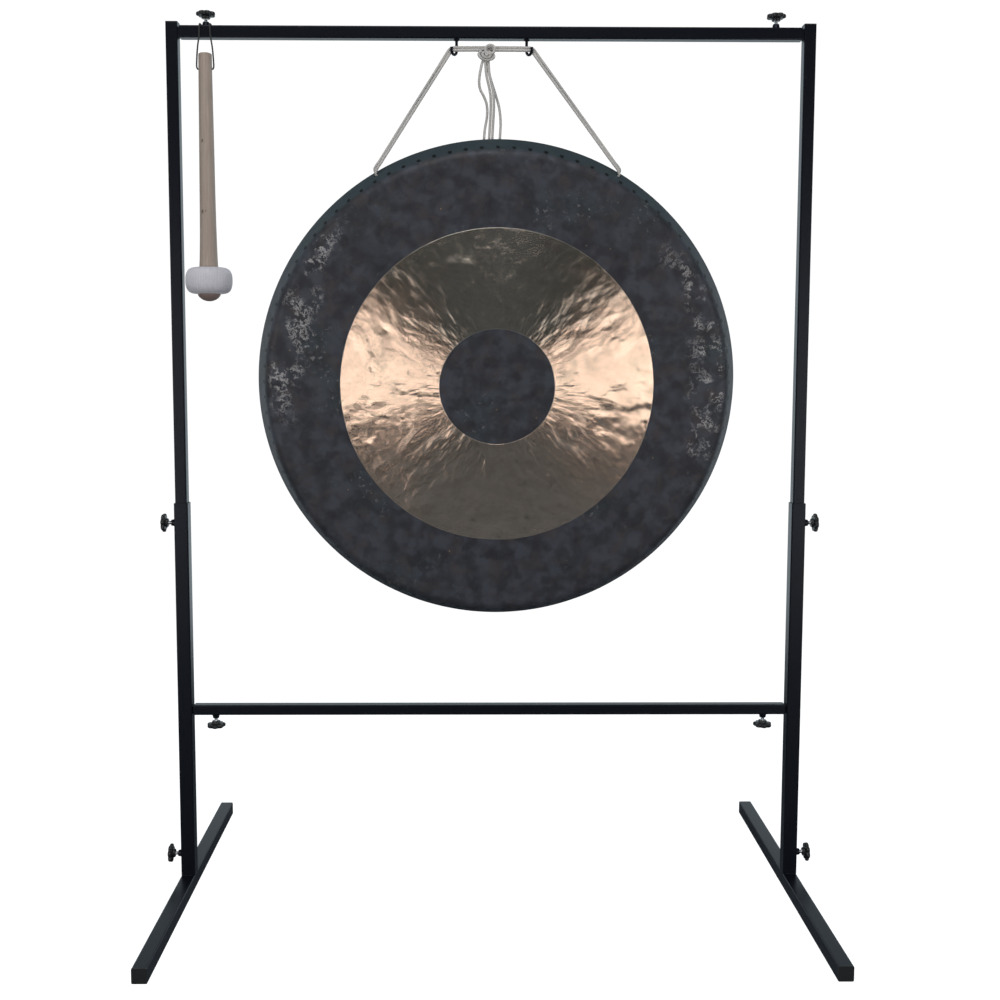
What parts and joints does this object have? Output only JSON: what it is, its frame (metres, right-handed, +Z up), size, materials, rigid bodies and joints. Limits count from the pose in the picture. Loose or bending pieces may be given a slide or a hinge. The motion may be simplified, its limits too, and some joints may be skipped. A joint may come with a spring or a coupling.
{
  "type": "tam-tam gong on stand",
  "caption": "Large tam-tam hung by a cord on a height-adjustable square-tube stand with star-knob clamps, with its felt mallet on a loop.",
  "frame": {"origin": "on the floor, in the middle between the two feet", "axes": "+Z up, -Y the gong's struck face and the front, +X to the right seen from the front"},
  "size_m": [1.411, 0.816, 1.87],
  "materials": {
    "powder_coat": "semi-gloss black powder coat",
    "black_plastic": "black moulded plastic",
    "zinc_steel": "bright zinc-plated steel thread",
    "bronze": "hammered bronze, dark fired skin with a lathed bright ring",
    "braid": "off-white braided cord",
    "black_cord": "black twisted cord",
    "pale_wood": "pale turned wood, satin",
    "felt": "white felt and yarn"
  },
  "bodies": {
    "stand_base": {"left_foot": "powder_coat", "left_foot_clamp_nut": "powder_coat", "left_foot_front_cap": "black_plastic", "left_foot_post": "powder_coat", "left_foot_rear_cap": "black_plastic", "left_height_clamp_nut": "powder_coat", "left_lower_clamp_nut": "powder_coat", "left_lower_stub": "powder_coat", "left_outer_upright": "powder_coat", "lower_crossbar": "powder_coat", "right_foot": "powder_coat", "right_foot_clamp_nut": "powder_coat", "right_foot_front_cap": "black_plastic", "right_foot_post": "powder_coat", "right_foot_rear_cap": "black_plastic", "right_height_clamp_nut": "powder_coat", "right_lower_clamp_nut": "powder_coat", "right_lower_stub": "powder_coat", "right_outer_upright": "powder_coat"},
    "upper_frame": {"cord_run_and_knot": "braid", "left_hook": "powder_coat", "left_inner_upright": "powder_coat", "left_top_clamp_nut": "powder_coat", "left_top_stub": "powder_coat", "left_upright_cap": "black_plastic", "right_hook": "powder_coat", "right_inner_upright": "powder_coat", "right_top_clamp_nut": "powder_coat", "right_top_stub": "powder_coat", "right_upright_cap": "black_plastic", "top_crossbar": "powder_coat", "mallet_loop_over_bar": "black_cord"},
    "gong_cord": {"inner_left_tail": "braid", "inner_right_tail": "braid", "left_cord_leg": "braid", "outer_left_tail": "braid", "outer_right_tail": "braid", "right_cord_leg": "braid"},
    "gong": {"gong": "bronze"},
    "mallet_loop": {"mallet_loop": "black_cord"},
    "mallet": {"mallet_handle": "pale_wood", "mallet_head_cover": "felt", "mallet_head_core": "pale_wood", "mallet_end_cap": "pale_wood"},
    "left_height_clamp_stud": {"left_height_clamp_stud": "zinc_steel"},
    "left_height_clamp_head": {"left_height_clamp_head": "black_plastic"},
    "left_foot_clamp_stud": {"left_foot_clamp_stud": "zinc_steel"},
    "left_foot_clamp_head": {"left_foot_clamp_head": "black_plastic"},
    "left_lower_clamp_stud": {"left_lower_clamp_stud": "zinc_steel"},
    "left_lower_clamp_head": {"left_lower_clamp_head": "black_plastic"},
    "left_top_clamp_stud": {"left_top_clamp_stud": "zinc_steel"},
    "left_top_clamp_head": {"left_top_clamp_head": "black_plastic"},
    "right_height_clamp_stud": {"right_height_clamp_stud": "zinc_steel"},
    "right_height_clamp_head": {"right_height_clamp_head": "black_plastic"},
    "right_foot_clamp_stud": {"right_foot_clamp_stud": "zinc_steel"},
    "right_foot_clamp_head": {"right_foot_clamp_head": "black_plastic"},
    "right_lower_clamp_stud": {"right_lower_clamp_stud": "zinc_steel"},
    "right_lower_clamp_head": {"right_lower_clamp_head": "black_plastic"},
    "right_top_clamp_stud": {"right_top_clamp_stud": "zinc_steel"},
    "right_top_clamp_head": {"right_top_clamp_head": "black_plastic"}
  },
  "joints": [
    {"name": "height_slide", "type": "slide", "parent": "stand_base", "child": "upper_frame", "axis": [0, 0, 1], "range_m": [-0.17, 0.2]},
    {"name": "gong_swing", "type": "hinge", "parent": "upper_frame", "child": "gong_cord", "pos_m": [0, -0.0068, 1.78], "axis": [1, 0, 0], "range_deg": [-20, 20]},
    {"name": "gong_rock", "type": "hinge", "parent": "gong_cord", "child": "gong", "pos_m": [0.013, -0.00857, 1.53474], "axis": [1, 0, 0], "range_deg": [-5, 5]},
    {"name": "mallet_swing", "type": "hinge", "parent": "upper_frame", "child": "mallet_loop", "pos_m": [-0.589, -0.0148, 1.8125], "axis": [1, 0, 0], "range_deg": [-50, 15]},
    {"name": "mallet_tip", "type": "hinge", "parent": "mallet_loop", "child": "mallet", "pos_m": [-0.589, -0.0148, 1.748], "axis": [1, 0, 0], "range_deg": [-30, 30]},
    {"name": "left_height_clamp_travel", "type": "slide", "parent": "stand_base", "child": "left_height_clamp_stud", "axis": [-1, 0, 0], "range_m": [0, 0.0025]},
    {"name": "left_height_clamp_turn", "type": "hinge", "parent": "left_height_clamp_stud", "child": "left_height_clamp_head", "pos_m": [-0.697, 0, 0.805], "axis": [-1, 0, 0], "range_deg": [0, 720]},
    {"name": "left_foot_clamp_travel", "type": "slide", "parent": "stand_base", "child": "left_foot_clamp_stud", "axis": [-1, 0, 0], "range_m": [0, 0.0025]},
    {"name": "left_foot_clamp_turn", "type": "hinge", "parent": "left_foot_clamp_stud", "child": "left_foot_clamp_head", "pos_m": [-0.697, 0, 0.075], "axis": [-1, 0, 0], "range_deg": [0, 720]},
    {"name": "left_lower_clamp_travel", "type": "slide", "parent": "stand_base", "child": "left_lower_clamp_stud", "axis": [0, 0, -1], "range_m": [0, 0.0025]},
    {"name": "left_lower_clamp_turn", "type": "hinge", "parent": "left_lower_clamp_stud", "child": "left_lower_clamp_head", "pos_m": [-0.594, 0, 0.3626], "axis": [0, 0, -1], "range_deg": [0, 720]},
    {"name": "left_top_clamp_travel", "type": "slide", "parent": "upper_frame", "child": "left_top_clamp_stud", "axis": [0, 0, 1], "range_m": [0, 0.0025]},
    {"name": "left_top_clamp_turn", "type": "hinge", "parent": "left_top_clamp_stud", "child": "left_top_clamp_head", "pos_m": [-0.589, 0, 1.8615], "axis": [0, 0, 1], "range_deg": [0, 720]},
    {"name": "right_height_clamp_travel", "type": "slide", "parent": "stand_base", "child": "right_height_clamp_stud", "axis": [1, 0, 0], "range_m": [0, 0.0025]},
    {"name": "right_height_clamp_turn", "type": "hinge", "parent": "right_height_clamp_stud", "child": "right_height_clamp_head", "pos_m": [0.697, 0, 0.805], "axis": [1, 0, 0], "range_deg": [0, 720]},
    {"name": "right_foot_clamp_travel", "type": "slide", "parent": "stand_base", "child": "right_foot_clamp_stud", "axis": [1, 0, 0], "range_m": [0, 0.0025]},
    {"name": "right_foot_clamp_turn", "type": "hinge", "parent": "right_foot_clamp_stud", "child": "right_foot_clamp_head", "pos_m": [0.697, 0, 0.075], "axis": [1, 0, 0], "range_deg": [0, 720]},
    {"name": "right_lower_clamp_travel", "type": "slide", "parent": "stand_base", "child": "right_lower_clamp_stud", "axis": [0, 0, -1], "range_m": [0, 0.0025]},
    {"name": "right_lower_clamp_turn", "type": "hinge", "parent": "right_lower_clamp_stud", "child": "right_lower_clamp_head", "pos_m": [0.594, 0, 0.3626], "axis": [0, 0, -1], "range_deg": [0, 720]},
    {"name": "right_top_clamp_travel", "type": "slide", "parent": "upper_frame", "child": "right_top_clamp_stud", "axis": [0, 0, 1], "range_m": [0, 0.0025]},
    {"name": "right_top_clamp_turn", "type": "hinge", "parent": "right_top_clamp_stud", "child": "right_top_clamp_head", "pos_m": [0.589, 0, 1.8615], "axis": [0, 0, 1], "range_deg": [0, 720]}
  ],
  "couplings": [
    {"joint": "left_height_clamp_travel", "follows": "left_height_clamp_turn", "m_per_rad": 0.00019894},
    {"joint": "left_foot_clamp_travel", "follows": "left_foot_clamp_turn", "m_per_rad": 0.00019894},
    {"joint": "left_lower_clamp_travel", "follows": "left_lower_clamp_turn", "m_per_rad": 0.00019894},
    {"joint": "left_top_clamp_travel", "follows": "left_top_clamp_turn", "m_per_rad": 0.00019894},
    {"joint": "right_height_clamp_travel", "follows": "right_height_clamp_turn", "m_per_rad": 0.00019894},
    {"joint": "right_foot_clamp_travel", "follows": "right_foot_clamp_turn", "m_per_rad": 0.00019894},
    {"joint": "right_lower_clamp_travel", "follows": "right_lower_clamp_turn", "m_per_rad": 0.00019894},
    {"joint": "right_top_clamp_travel", "follows": "right_top_clamp_turn", "m_per_rad": 0.00019894}
  ]
}
